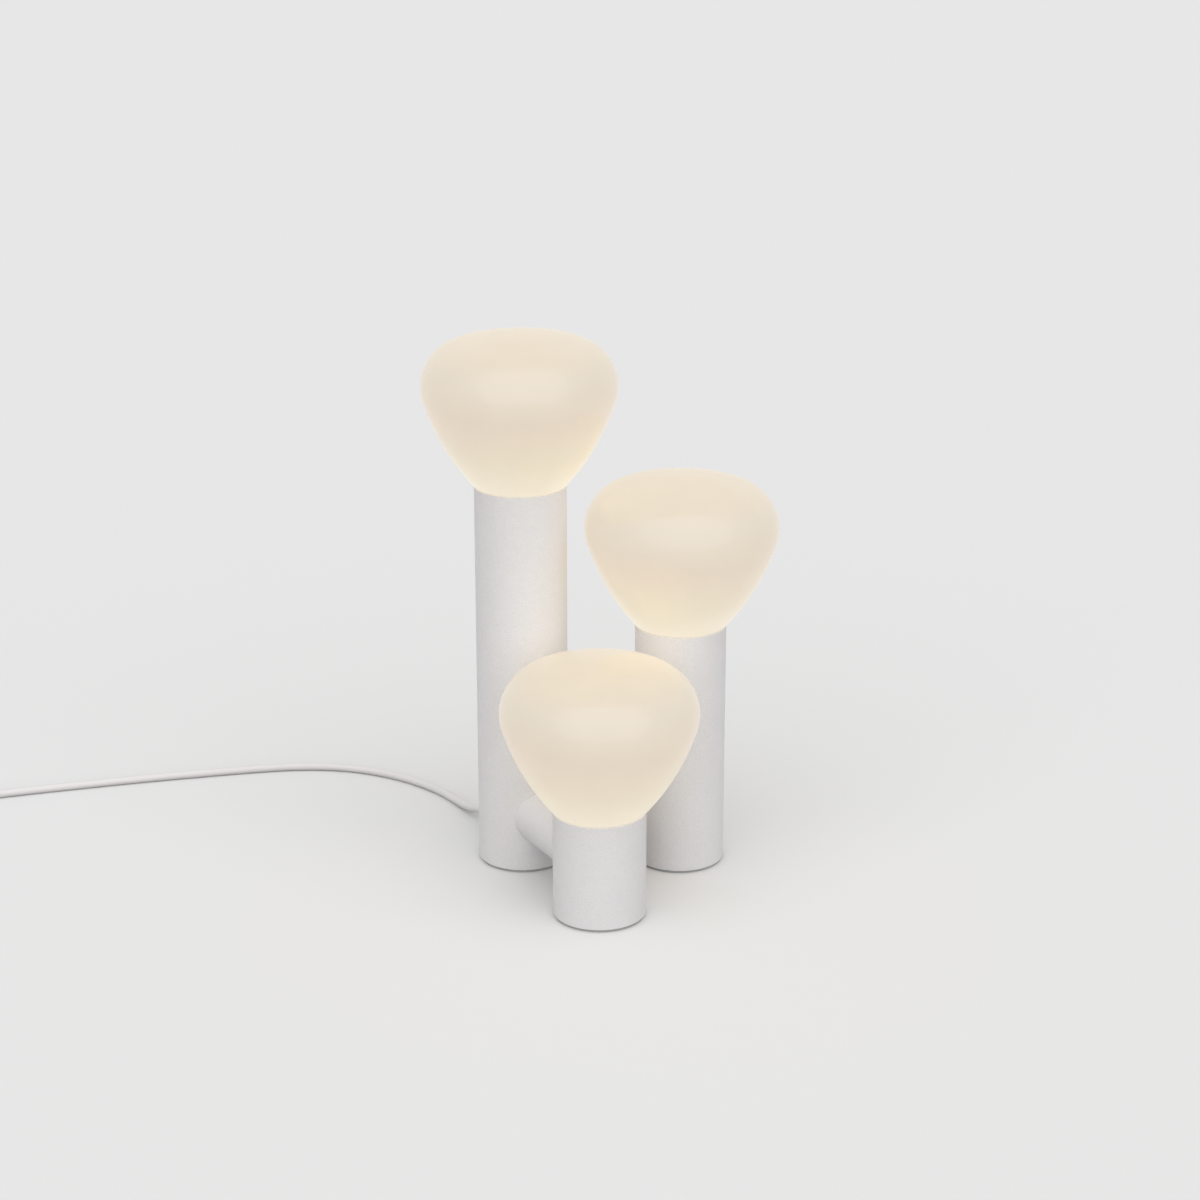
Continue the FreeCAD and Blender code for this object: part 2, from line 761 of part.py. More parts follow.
lamp_side_route = [
    cord_start,
    cord_start + polar(15, exit_angle),
    Vector(-108, 131, 5.8),
    Vector(-119, 151, cord_floor),
    Vector(-137, 176, cord_floor),
    Vector(-169, 203, cord_floor),
    Vector(-210, 222, cord_floor),
    Vector(-251, 226, cord_floor),
    Vector(-292, 220, cord_floor),
    Vector(-341, 208, cord_floor),
    Vector(-385, 197, cord_floor),
    Vector(-440, 181, cord_floor),
    Vector(-499, 163, cord_floor),
    Vector(-541, 147, cord_floor),
    Vector(-570, 130, cord_floor),
    Vector(-582, 108, cord_floor + 1.2),
    Vector(-585, 88, cord_entry_height),
    switch_inlet,
]
coil_side_route = [
    switch_outlet,
    switch_outlet + Vector(0, -10, 0),
    Vector(-585, -17, coil_floor),
    coil_start,
]
plug_side_route = [
    coil_end,
    coil_end + Vector(0, 15, 0),
    Vector(-677, 6, 9.8),
    Vector(-679, 24, 12),
    plug_start,
]


def biarc(start, start_way, end, end_way):
    """Two tangent arcs that join two points with given directions, in space."""
    gap = end - start
    ways = start_way + end_way
    a = 2 * (1 - start_way.dot(end_way))
    b = 2 * gap.dot(ways)
    c = -gap.dot(gap)
    reach = -c / b if abs(a) < 1e-9 else (-b + math.sqrt(b * b - 4 * a * c)) / (2 * a)
    first = start + start_way * reach
    second = end - end_way * reach
    joint = (first + second) * 0.5
    return [arc_by_tangent(start, start_way, joint), arc_by_tangent(end, end_way * -1, joint)]


def arc_by_tangent(start, way, end):
    """Middle point of the arc that leaves start along way and ends at end, with its ends."""
    chord = end - start
    bulge = (way - chord * (way.dot(chord) / chord.dot(chord))).normalize()
    sagitta = chord.Length / 2 * math.tan(chord.getAngle(way) / 2)
    return start, (start + end) * 0.5 + bulge * sagitta, end


def coil_state(turns):
    """Point and direction on the coil's centreline, turns counted clockwise from its start."""
    def spot(t):
        whole = coil_turns
        inner = coil_radius - coil_pitch * whole
        rise = min(max((t - whole) / 0.5, 0.0), 1.0)
        if t < whole:
            radius = coil_radius - coil_pitch * t
        elif t > whole + 0.5:
            radius = inner + coil_pitch * (t - whole - 0.5)
        else:
            radius = inner - climb_dip * math.sin(math.pi * rise)
        level = coil_floor + layer_height * rise * rise * (3 - 2 * rise)
        return coil_centre + polar(radius, -360 * t, level)

    step = 1e-4
    return spot(turns), (spot(turns + step) - spot(turns - step)).normalize()


def cord_coil():
    """The put-away length: one tube, in over the floor, up one layer, and out again."""
    quarters = int(round(4 * (2 * coil_turns + 0.5)))
    south, north = Vector(0, -1, 0), Vector(0, 1, 0)
    states = [coil_state(i / 4) for i in range(quarters + 1)]
    states[0] = (states[0][0], south)
    states[-1] = (states[-1][0], north)
    edges = [Part.makeLine(coil_start, states[0][0])]
    samples = []
    for (start, start_way), (end, end_way) in zip(states, states[1:]):
        first, second = biarc(start, start_way, end, end_way)
        for three in (first, second[::-1]):
            arc = Part.Arc(*three).toShape()
            edges.append(arc)
            samples += arc.discretize(12)[:-1]
    edges.append(Part.makeLine(states[-1][0], coil_end))
    print("  coil's least gap", round(least_gap(samples), 2))
    return swept(edges, cord_radius)


def least_gap(samples):
    """Smallest distance between surfaces of different turns, measured on points."""
    lengths = [0.0]
    for a, b in zip(samples, samples[1:]):
        lengths.append(lengths[-1] + (b - a).Length)
    away = 6 * cord_radius      # along the cord, nearer points belong to the same turn
    best = coil_radius
    for i, a in enumerate(samples):
        for j in range(i + 1, len(samples)):
            if lengths[j] - lengths[i] > away:
                best = min(best, (samples[j] - a).Length)
    return best - 2 * cord_radius


def cord_tie():
    """Flat strap round the turns, on the coil's front side."""
    spare = cord_radius + tie_clearance
    low = coil_radius - coil_pitch * coil_turns - climb_dip - spare
    high = coil_radius + spare
    top = coil_floor + layer_height + spare
    length = high - low + 2 * tie_thickness
    height = top + tie_thickness
    loops = []
    for wall in (tie_thickness, 0):
        corner = Vector(-tie_width / 2, -high - tie_thickness + wall, wall)
        loop = Part.makeBox(tie_width, length - 2 * wall, height - 2 * wall, corner)
        across = [e for e in loop.Edges if abs(e.tangentAt(e.FirstParameter).x) > 0.9]
        loops.append(loop.makeFillet(tie_corner_radius - wall, across))
    hole, strap = loops
    return shift(strap.cut(hole), coil_centre)


# ---- Switch on the cord -----------------------------------------------------------------------------
def rounded_block(size_x, size_y, low, high, corner):
    shape = block(size_x, size_y, low, high)
    upright = [e for e in shape.Edges if abs(e.tangentAt(e.FirstParameter).z) > 0.9]
    return shape.makeFillet(corner, upright)


def round_face_edges(shape, level, radius):
    rim = [e for e in shape.Edges
           if abs(e.BoundBox.ZMax - level) < fit_gap and abs(e.BoundBox.ZMin - level) < fit_gap]
    return shape.makeFillet(radius, rim)


def switch_shells():
    """Top and bottom halves, parted at the cord's level."""
    part_line = cord_entry_height
    hollow_corner = switch_corner_radius - switch_wall
    hollow_x = switch_width - 2 * switch_wall
    hollow_y = switch_length - 2 * switch_wall

    bottom = rounded_block(switch_width, switch_length, 0, part_line, switch_corner_radius)
    bottom = round_face_edges(bottom, 0, switch_edge_radius / 2)
    bottom = bottom.cut(rounded_block(hollow_x, hollow_y, switch_wall, part_line, hollow_corner))

    top = rounded_block(switch_width, switch_length, part_line, switch_height, switch_corner_radius)
    top = round_face_edges(top, switch_height, switch_edge_radius)
    top = top.cut(rounded_block(hollow_x, hollow_y, part_line, switch_height - switch_wall, hollow_corner))

    slot_x = rocker_width + 2 * rocker_clearance
    slot_y = rocker_length + 2 * rocker_clearance
    cheeks_x = slot_x + 2 * cheek_thickness
    cheeks = block(cheeks_x, 2 * rocker_drum_radius, part_line, switch_height - switch_wall)
    top = top.fuse(cheeks).removeSplitter()
    top = top.cut(block(slot_x, slot_y, part_line, switch_height))
    pivot_reach = rocker_width / 2 + pivot_length + rocker_clearance
    top = top.cut(bar(pivot_radius + pivot_clearance, Vector(-pivot_reach, 0, rocker_pivot_height),
                      Vector(pivot_reach, 0, rocker_pivot_height)))
    hole_radius = small_screw_radius + screw_hole_clearance
    head_hole_radius = small_screw_head_radius + screw_hole_clearance
    thread_top = small_screw_head_height + small_screw_length + screw_hole_clearance
    for side in (-1, 1):
        spot = Vector(0, side * boss_offset, 0)
        bottom = bottom.fuse(post(boss_radius, 0, part_line, spot))
        top = top.fuse(post(boss_radius, part_line, switch_height - switch_wall / 2, spot))
        bottom = bottom.cut(post(hole_radius, 0, part_line, spot))
        bottom = bottom.cut(post(head_hole_radius, 0, small_screw_head_height, spot))
        top = top.cut(post(hole_radius, part_line, thread_top, spot))
    return [shift(half.removeSplitter(), switch_centre) for half in (top, bottom)]


def switch_screws():
    screws = []
    for side in (-1, 1):
        spot = switch_centre + Vector(0, side * boss_offset, 0)
        seat = small_screw_head_height
        head = post(small_screw_head_radius, 0, seat, spot)
        shank = post(small_screw_radius, seat, seat + small_screw_length, spot)
        screws.append(head.fuse(shank).removeSplitter())
    return screws


def switch_rocker():
    """Rocker with a low ridge, tipped to one side, on two stub pivots."""
    half = rocker_length / 2
    ridge = switch_height + rocker_rise - rocker_pivot_height
    slope = math.tan(math.radians(rocker_tilt))
    end_top = ridge - half * slope
    end_low = end_top - rocker_rise - switch_wall / 2
    top_half = half - (end_top - end_low) * slope
    corners = [(-half, end_low), (-top_half, end_top), (0, ridge), (top_half, end_top), (half, end_low)]
    points = [Vector(-rocker_width / 2, y, z) for y, z in corners + corners[:1]]
    cap = Part.Face(Part.makePolygon(points)).extrude(Vector(rocker_width, 0, 0))
    drum = bar(rocker_drum_radius, Vector(-rocker_width / 2, 0, 0), Vector(rocker_width / 2, 0, 0))
    reach = rocker_width / 2 + pivot_length
    pivot = bar(pivot_radius, Vector(-reach, 0, 0), Vector(reach, 0, 0))
    whole = cap.fuse([drum, pivot]).removeSplitter()
    whole.rotate(Vector(0, 0, 0), Vector(1, 0, 0), rocker_tilt)
    return shift(whole, switch_centre + UP * rocker_pivot_height)


def switch_contacts():
    """Two sprung brass blades that stand on the bottom half's floor."""
    blades = []
    top = switch_wall + contact_height
    for side in (-1, 1):
        spot = switch_centre + Vector(0, side * contact_spacing / 2, 0)
        blades.append(block(contact_width, contact_thickness, switch_wall, top, spot))
    return blades


# ---- Plug ------------------------------------------------------------------------------------------
def plug_body():
    """Moulded body with a tapered tail, built upwards and laid along +Y."""
    tail = turned(outline([(0, 0), (plug_tail_radius, 0), (plug_root_radius, plug_tail_length),
                           (0, plug_tail_length), (0, 0)]))
    top = plug_tail_length + plug_body_length
    middle = plug_tail_length + plug_body_length / 2
    outlines = []
    for level, share in ((plug_tail_length, plug_back_share), (middle, 1.0), (top, 1.0)):
        width, height = plug_face_width * share, plug_face_height * share
        sheet = rounded_block(width, height, level, level + 1, plug_edge_radius * share)
        face = [f for f in sheet.Faces if f.BoundBox.ZMax < level + fit_gap][0]
        outlines.append(face.OuterWire)
    body = Part.makeLoft(outlines[:2], True, True).fuse(Part.makeLoft(outlines[1:], True, True))
    whole = body.fuse(tail).removeSplitter()
    return lay_plug(whole)


def lay_plug(shape):
    """From pointing up at the origin to lying along +Y at the plug's place."""
    return point_along(shape, Vector(0, 1, 0), plug_start)


def plug_face():
    return plug_start + Vector(0, plug_tail_length + plug_body_length, 0)


def plug_pins():
    """Two flat blades and a round earth pin, on the plug's face."""
    face = plug_face()
    blades = []
    for side in (-1, 1):
        low = (side * blade_spacing - blade_thickness) / 2
        corner = face + Vector(blade_offset - blade_width / 2, 0, low)
        blades.append(Part.makeBox(blade_width, blade_length, blade_thickness, corner))
    start = face + Vector(blade_offset - earth_pin_offset, 0, 0)
    straight = earth_pin_length - earth_pin_radius
    tip = start + Vector(0, straight, 0)
    earth = bar(earth_pin_radius, start, tip).fuse(Part.makeSphere(earth_pin_radius, tip))
    return blades, [earth.removeSplitter()]


# ---- Write the nodes ------------------------------------------------------------------------------
os.makedirs("parts", exist_ok=True)

for name in columns:
    save("column_tube_" + name, [column_tube(name)])
    save("base_weight_" + name, [base_weight(name)])
    save("foot_pad_" + name, [foot_pad(name)])
    save("tie_rod_" + name, [tie_rod(name)])
    save("holder_plate_" + name, [holder_plate(name)])
    save("holder_bracket_" + name, [holder_bracket(name)])
    save("lamp_holder_" + name, [lamp_holder(name)])
    save("bulb_" + name, [bulb(name)])
    save("shade_" + name, [shade(name)])
    save("shade_grip_ring_" + name, [grip_ring(name)])
    save("lamp_lead_" + name, [lamp_lead(name)])
save("tie_rod_nuts", [nut for name in columns for nut in rod_nuts(name)])
save("holder_screws", [screw for name in columns for screw in holder_screws(name)])

for name in cross_tubes:
    save("cross_tube_" + name, [cross_tube(name)])
    save("cross_pipe_" + name, [cross_pipe(name)])
pairs = [cross_fasteners(name) for name in cross_tubes]
save("cross_pipe_nuts", [nut for nuts, _ in pairs for nut in nuts])
save("cross_pipe_saddles", [saddle for _, saddles in pairs for saddle in saddles])

save("terminal_block", [terminal_block()])
save("supply_cores", supply_cores())
save("earth_lead", [earth_lead()])
save("earth_screw", [earth_screw()])
save("strain_relief", [strain_relief()])

save("power_cord_lamp_side", [free_cord(lamp_side_route)])
save("power_cord_coil_side", [free_cord(coil_side_route)])
save("power_cord_plug_side", [free_cord(plug_side_route)])
save("cord_coil", [cord_coil()])
save("cord_tie", [cord_tie()])

switch_top, switch_bottom = switch_shells()
save("switch_top", [switch_top])
save("switch_bottom", [switch_bottom])
save("switch_rocker", [switch_rocker()])
save("switch_contacts", switch_contacts())
save("switch_screws", switch_screws())

plug_blades, plug_earth = plug_pins()
save("plug_body", [plug_body()])
save("plug_blades", plug_blades)
save("plug_earth_pin", plug_earth)
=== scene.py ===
"""Three coated columns of stepped heights, each with a glowing glass tulip, on a pale table.

Lengths are in metres. The frame gives every rigid piece its place.
"""
import json
import math

import bmesh
import bpy
import numpy as np
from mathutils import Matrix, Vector


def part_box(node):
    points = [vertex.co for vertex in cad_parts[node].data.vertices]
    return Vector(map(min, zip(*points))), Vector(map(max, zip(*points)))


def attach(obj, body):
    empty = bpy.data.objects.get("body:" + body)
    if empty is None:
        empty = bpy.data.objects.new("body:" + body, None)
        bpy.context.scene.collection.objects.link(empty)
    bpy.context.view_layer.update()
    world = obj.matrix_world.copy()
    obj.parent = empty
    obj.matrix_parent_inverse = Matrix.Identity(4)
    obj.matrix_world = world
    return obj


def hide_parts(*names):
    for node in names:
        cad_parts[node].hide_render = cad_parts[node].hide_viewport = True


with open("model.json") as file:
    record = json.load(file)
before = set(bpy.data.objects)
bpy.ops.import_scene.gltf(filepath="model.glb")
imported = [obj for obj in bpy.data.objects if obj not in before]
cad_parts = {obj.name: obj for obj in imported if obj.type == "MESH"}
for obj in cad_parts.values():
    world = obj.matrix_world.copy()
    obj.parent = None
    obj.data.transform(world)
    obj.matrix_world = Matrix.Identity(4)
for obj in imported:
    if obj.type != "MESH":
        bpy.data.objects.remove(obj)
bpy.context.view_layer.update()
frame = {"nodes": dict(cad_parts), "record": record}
nodes = frame["nodes"]
record = frame["record"]
bpy.context.scene.view_settings.view_transform = "Standard"

# ---- Camera ----------------------------------------------------------------------------
# A long lens, nearly two metres in front of the lamp and a little above the shades.
camera_place = (0.02214, -1.90658, 0.88448)
camera_dip = math.radians(18.919)
camera_turn = math.radians(0.673)
lens_mm = 81.265
sensor_mm = 36.0

camera_data = bpy.data.cameras.new("camera")
camera_data.lens = lens_mm
camera_data.sensor_width = sensor_mm
camera = bpy.data.objects.new("camera", camera_data)
camera.location = camera_place
camera.rotation_euler = (math.pi / 2 - camera_dip, 0, camera_turn)
bpy.context.scene.collection.objects.link(camera)
bpy.context.scene.camera = camera

# ---- Power cord ------------------------------------------------------------------------
# A round three-core lamp cord in soft white vinyl. It lies on the table, passes through
# its switch, and its spare length is wound in a flat coil that ends at the plug.
cord_radius = 0.0033
column_radius = 0.035
relief_reach = 0.024
relief_height = 0.012
relief_angle = math.radians(120)
straight_run = 0.015
switch_height = 0.0085
switch_middle = Vector((-0.585, 0.039, switch_height))
half_switch = Vector((0, 0.031, 0))
coil_middle = Vector((-0.630, -0.035, 0))
coil_radius = 0.045
coil_pitch = 0.0072
coil_turns = 2
coil_floor = 0.0044
coil_layer = 0.0071
climb_turn = 0.5
climb_dip = 0.0012
points_per_turn = 24
plug_start = (-0.679, 0.038, 0.012)

body_of = {node: body for body, members in record["behaviour"]["bodies"].items()
           for node in members}


def show(name, data, material, *stands_for):
    """Puts a finished piece in the scene, on the body of the nodes that it stands for."""
    piece = bpy.data.objects.new(name, data)
    bpy.context.scene.collection.objects.link(piece)
    data.materials.clear()
    data.materials.append(material)
    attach(piece, body_of[stands_for[0]])
    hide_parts(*stands_for)
    return piece


def put(tree, kind, sockets, **settings):
    """Adds a shader node; each socket gets a plain value, or a link from another socket."""
    made = tree.nodes.new("ShaderNode" + kind)
    for name, value in settings.items():
        setattr(made, name, value)
    for name, value in sockets.items():
        if isinstance(value, bpy.types.NodeSocket):
            tree.links.new(value, made.inputs[name])
        else:
            made.inputs[name].default_value = value
    return made


def mixed(tree, share, first, second):
    """A mix node's colour between two colours, each four plain values or a socket."""
    return put(tree, "Mix", {0: share, 6: first, 7: second}, data_type="RGBA").outputs[2]


def own_place(tree):
    """The piece's own coordinates, which are metres in the lamp's frame."""
    return put(tree, "TexCoord", {}).outputs["Object"]


def own_height(tree, own):
    """The height over the table."""
    return put(tree, "SeparateXYZ", {0: own}).outputs["Z"]


def wire(tree, shader, **sources):
    """Links outputs to the shader's sockets."""
    for socket, source in sources.items():
        tree.links.new(source, shader.inputs[socket.replace("_", " ")])


def make_grain():
    """Fine grain with a faint cloud over it, both read from the piece's own coordinates.

    Fine noise of the given size raises the surface by up to the given depth and sets the
    roughness between its two values. Three parts of it and one part of a cloud forty times
    as wide mix the tone from the first colour to the second. A draw below 1 along an axis
    draws the grain out into lines that way, as brushing does.
    """
    group = bpy.data.node_groups.new("grain", "ShaderNodeTree")
    given_sockets = {"Colour": "Color", "Deeper": "Color", "Grains": "Float", "Depth": "Float",
                     "Smoothest": "Float", "Roughest": "Float", "Draw": "Vector"}
    made_sockets = {"Colour": "Color", "Roughness": "Float", "Normal": "Vector"}
    for way, sockets in (("INPUT", given_sockets), ("OUTPUT", made_sockets)):
        for socket, kind in sockets.items():
            group.interface.new_socket(socket, in_out=way, socket_type="NodeSocket" + kind)
    given = group.nodes.new("NodeGroupInput").outputs
    made = group.nodes.new("NodeGroupOutput")
    place = put(group, "VectorMath", {0: own_place(group), 1: given["Draw"]},
                operation="MULTIPLY").outputs[0]
    fine = put(group, "TexNoise", {"Vector": place, "Scale": given["Grains"], "Detail": 3.0})
    wide = put(group, "Math", {0: given["Grains"], 1: 40.0}, operation="DIVIDE")
    cloud = put(group, "TexNoise", {"Vector": place, "Scale": wide.outputs[0], "Detail": 2.0})
    level = put(group, "MapRange", {"Value": fine.outputs[0], "From Min": 0.3, "From Max": 0.7})
    tone = put(group, "Mix", {0: 0.25, 2: level.outputs[0], 3: cloud.outputs[0]})
    rough = put(group, "MapRange", {"Value": level.outputs[0], "To Min": given["Smoothest"],
                                    "To Max": given["Roughest"]})
    bump = put(group, "Bump", {"Height": level.outputs[0], "Distance": given["Depth"]})
    wire(group, made, Colour=mixed(group, tone.outputs[0], given["Colour"], given["Deeper"]),
         Roughness=rough.outputs[0], Normal=bump.outputs[0])
    return group


grain = make_grain()


def shaded(name, **plain):
    """A material with one Principled shader, and the plain values of that shader's sockets."""
    material = bpy.data.materials.new(name)
    material.use_nodes = True
    shader = material.node_tree.nodes["Principled BSDF"]
    for socket, value in plain.items():
        shader.inputs[socket.replace("_", " ")].default_value = value
    return material, shader


def grained(name, colour, deeper, grains, depth, rough, draw=(1, 1, 1), **plain):
    """A material whose colour, roughness and relief come from the grain group.

    The colours are the grain's palest and deepest, `grains` is how many there are in a metre,
    `depth` is its relief, and `rough` holds the roughness of its hollows and its peaks.
    """
    material, shader = shaded(name, **plain)
    tree = material.node_tree
    made = put(tree, "Group", {}, node_tree=grain)
    for socket, value in (("Colour", (*colour, 1)), ("Deeper", (*deeper, 1)), ("Grains", grains),
                          ("Depth", depth), ("Smoothest", rough[0]), ("Roughest", rough[1]),
                          ("Draw", draw)):
        made.inputs[socket].default_value = value
    wire(tree, shader, Base_Color=made.outputs["Colour"], Roughness=made.outputs["Roughness"],
         Normal=made.outputs["Normal"])
    return material


def coil_point(turn):
    """Centreline of the coil, clockwise: inwards on the lower layer, up a layer in the half
    turn where the spiral reverses, and outwards on the upper layer."""
    inner = coil_radius - coil_pitch * coil_turns
    climbed = min(max((turn - coil_turns) / climb_turn, 0.0), 1.0)
    if turn < coil_turns:
        radius = coil_radius - coil_pitch * turn
    elif climbed < 1:
        radius = inner - climb_dip * math.sin(math.pi * climbed)
    else:
        radius = inner + coil_pitch * (turn - coil_turns - climb_turn)
    out = radius / math.cos(math.pi / points_per_turn)
    angle = -2 * math.pi * turn
    level = coil_floor + coil_layer * climbed * climbed * (3 - 2 * climbed)
    return coil_middle + Vector((out * math.cos(angle), out * math.sin(angle), level))


foot_low, foot_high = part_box("foot_pad_tall")
tall_axis = Vector(((foot_low.x + foot_high.x) / 2, (foot_low.y + foot_high.y) / 2, 0))
relief_way = Vector((math.cos(relief_angle), math.sin(relief_angle), 0))
cord_exit = tall_axis + relief_way * (column_radius + relief_reach) + Vector((0, 0, relief_height))

coil_steps = int(points_per_turn * (2 * coil_turns + climb_turn))
upper_layer = coil_floor + coil_layer
route = [
    cord_exit,
    cord_exit + relief_way * straight_run,
    (-0.108, 0.131, 0.0058),
    (-0.119, 0.151, cord_radius),
    (-0.137, 0.176, cord_radius),
    (-0.169, 0.203, cord_radius),
    (-0.210, 0.222, cord_radius),
    (-0.251, 0.226, cord_radius),
    (-0.292, 0.220, cord_radius),
    (-0.341, 0.208, cord_radius),
    (-0.385, 0.197, cord_radius),
    (-0.440, 0.181, cord_radius),
    (-0.499, 0.163, cord_radius),
    (-0.541, 0.147, cord_radius),
    (-0.570, 0.130, cord_radius),
    (-0.582, 0.108, 0.0045),
    (-0.585, 0.088, switch_height),
    switch_middle + half_switch,
    switch_middle - half_switch,
    (-0.585, -0.002, switch_height),
    (-0.585, -0.017, coil_floor),
    (-0.585, -0.0284, coil_floor),
    *[coil_point(step / points_per_turn) for step in range(coil_steps + 1)],
    (-0.675, -0.0284, upper_layer),
    (-0.675, -0.0134, upper_layer),
    (-0.677, 0.006, 0.0098),
    (-0.679, 0.024, 0.012),
    plug_start,
]

cord_curve = bpy.data.curves.new("power_cord", "CURVE")
cord_curve.dimensions = "3D"
cord_curve.bevel_depth = cord_radius
cord_curve.bevel_resolution = 6
cord_curve.resolution_u = 6
cord_curve.use_fill_caps = True
spline = cord_curve.splines.new("NURBS")
spline.points.add(len(route) - 1)
for point, place in zip(spline.points, route):
    point.co = (*place, 1)
spline.order_u = 3
spline.use_endpoint_u = True

cord_vinyl = grained("cord vinyl", (0.76, 0.735, 0.738), (0.72, 0.695, 0.698), grains=900,
                     depth=0.00002, rough=(0.38, 0.50), Coat_Weight=0.1, Coat_Roughness=0.3)
power_cord = show("power_cord", cord_curve, cord_vinyl, "power_cord_lamp_side",
                  "power_cord_coil_side", "cord_coil", "power_cord_plug_side")

# ---- Cord tie --------------------------------------------------------------------------
# A woven hook-and-loop strap that holds the put-away coil together. It goes once round the
# turns on the coil's near side, and its end is pressed down over its beginning.
strap_width = 0.009
strap_thickness = 0.0009
strap_gap = 0.0005
strap_corner = 0.0025
strap_overlap = 0.014
strap_ramp = 0.006
strap_lift = 1.1 * strap_thickness
strap_stations = 220
strap_squareness = 6.0
strap_steps = 24
corner_steps = 12
thread_pitch = 0.0009

smooth_limit = math.radians(40)


def skin(name, centre, across, outward, aside, out):
    """A closed skin over rings of points, one ring at each station of a path.

    A ring's point is its station's centre, plus `aside` along `across`, plus `out` along
    `outward`. Quads join each ring to the next, and a flat cap closes each end.
    """
    rings = centre[:, None] + aside[..., None] * across[:, None] + out[..., None] * outward[:, None]
    count, around = rings.shape[:2]
    index = np.arange(count * around).reshape(count, around)
    beside = np.roll(index, -1, axis=1)
    quads = np.stack([index[:-1], beside[:-1], beside[1:], index[1:]], axis=-1).reshape(-1, 4)
    caps = [index[0].tolist(), index[-1].tolist()]
    mesh = bpy.data.meshes.new(name)
    mesh.from_pydata(rings.reshape(-1, 3).tolist(), [], quads.tolist() + caps)
    shell = bmesh.new()
    shell.from_mesh(mesh)
    bmesh.ops.recalc_face_normals(shell, faces=shell.faces)
    shell.to_mesh(mesh)
    shell.free()
    mesh.shade_smooth()
    mesh.set_sharp_from_angle(angle=smooth_limit)
    return mesh


def squircle(power, steps):
    """Unit outline between a circle, at power 2, and a square: cosine and sine of the angle,
    each with its own sign and the exponent 2 / power."""
    angle = np.linspace(0, 2 * np.pi, steps, endpoint=False)
    exponent = 2 / np.asarray(power, float)[..., None]
    return [np.sign(wave) * np.abs(wave) ** exponent for wave in (np.cos(angle), np.sin(angle))]


def ease(share):
    """Rises from 0 to 1, level at both ends: 3 shares squared less 2 cubed."""
    share = np.clip(share, 0, 1)
    return share * share * (3 - 2 * share)


def strap_line():
    """Middle line of the strap, its outward direction and its length so far.

    Four corner arcs and the straight runs between them make one lap of a rounded rectangle
    in the YZ plane, read at even steps. Past the lap the line follows its own start again,
    moved outwards by a little over one thickness, and it climbs to there over a short ramp.
    """
    clear = cord_radius + strap_gap + strap_thickness / 2
    outer = coil_radius + clear
    inner = coil_radius - coil_pitch * coil_turns - climb_dip - clear
    low_z, high_z = strap_thickness / 2, upper_layer + clear
    arcs = 4 * corner_steps
    angle = np.radians(np.linspace(90, 450, arcs + 1))[:-1] + np.radians(180 / arcs)
    way = np.stack([-np.cos(angle), np.sin(angle)], axis=-1)
    side = np.where(way[:, 0] > 0, -inner - strap_corner, -outer + strap_corner)
    level = np.where(way[:, 1] > 0, high_z - strap_corner, low_z + strap_corner)
    lap = np.stack([side, level], axis=-1) + strap_corner * way
    lap, way = np.vstack([lap, lap[:1]]), np.vstack([way, way[:1]])
    far = np.concatenate([[0], np.cumsum(np.linalg.norm(np.diff(lap, axis=0), axis=1))])
    along = np.linspace(0, far[-1] + strap_overlap, strap_stations)
    line, outward = (np.stack([0 * along, *[np.interp(along % far[-1], far, given[:, axis])
                                            for axis in (0, 1)]], axis=-1) for given in (lap, way))
    outward /= np.linalg.norm(outward, axis=1)[:, None]
    lift = strap_lift * ease((along - far[-1] + strap_ramp) / strap_ramp)
    return line + (np.array(coil_middle) + lift[:, None] * outward), outward, along


def weave_material():
    """Woven tape: the sines of the distance along and across it multiply to a plain weave. The gaps
    between its raised threads are painted darker as shade, and a faint fuzz varies the tone at
    random."""
    material, shader = shaded("strap weave", Sheen_Weight=0.3, Specular_IOR_Level=0.2)
    tree = material.node_tree
    along = put(tree, "Attribute", {}, attribute_name="along").outputs["Fac"]
    own = own_place(tree)
    across = put(tree, "SeparateXYZ", {0: own}).outputs["X"]
    waves = []
    for distance in (along, across):
        turns = put(tree, "Math", {0: distance, 1: math.pi / thread_pitch}, operation="MULTIPLY")
        waves.append(put(tree, "Math", {0: turns.outputs[0]}, operation="SINE").outputs[0])
    woven = put(tree, "Math", {0: waves[0], 1: waves[1]}, operation="MULTIPLY")
    fuzz = put(tree, "TexNoise", {"Vector": own, "Scale": 3000.0, "Detail": 2.0})
    height = put(tree, "Math", {0: fuzz.outputs[0], 1: 0.6, 2: woven.outputs[0]},
                 operation="MULTIPLY_ADD")
    # The tone follows the weave's height, so the darker colour in the low gaps is painted shade,
    # and the paler one is the threads' own; the fuzz adds a random tone.
    tone = put(tree, "MapRange", {"Value": height.outputs[0], "From Min": -1.0, "From Max": 1.3})
    rough = put(tree, "MapRange", {"Value": tone.outputs[0], "To Min": 0.95, "To Max": 0.75})
    bump = put(tree, "Bump", {"Height": height.outputs[0], "Distance": 0.00015})
    wire(tree, shader, Roughness=rough.outputs[0], Normal=bump.outputs[0],
         Base_Color=mixed(tree, tone.outputs[0], (0.48, 0.47, 0.46, 1), (0.74, 0.73, 0.71, 1)))
    return material


strap, strap_outward, strap_along = strap_line()
strap_aside, strap_out = [
    half * wave[None] * np.ones((len(strap), 1)) for half, wave in
    zip((strap_width / 2, strap_thickness / 2), squircle(strap_squareness, strap_steps))]
strap_mesh = skin("cord_tie_strap", strap, np.tile([1.0, 0, 0], (len(strap), 1)), strap_outward,
                  strap_aside, strap_out)
strap_mesh.attributes.new("along", "FLOAT", "POINT").data.foreach_set(
    "value", np.repeat(strap_along, strap_steps))
show("cord_tie_strap", strap_mesh, weave_material(), "cord_tie")
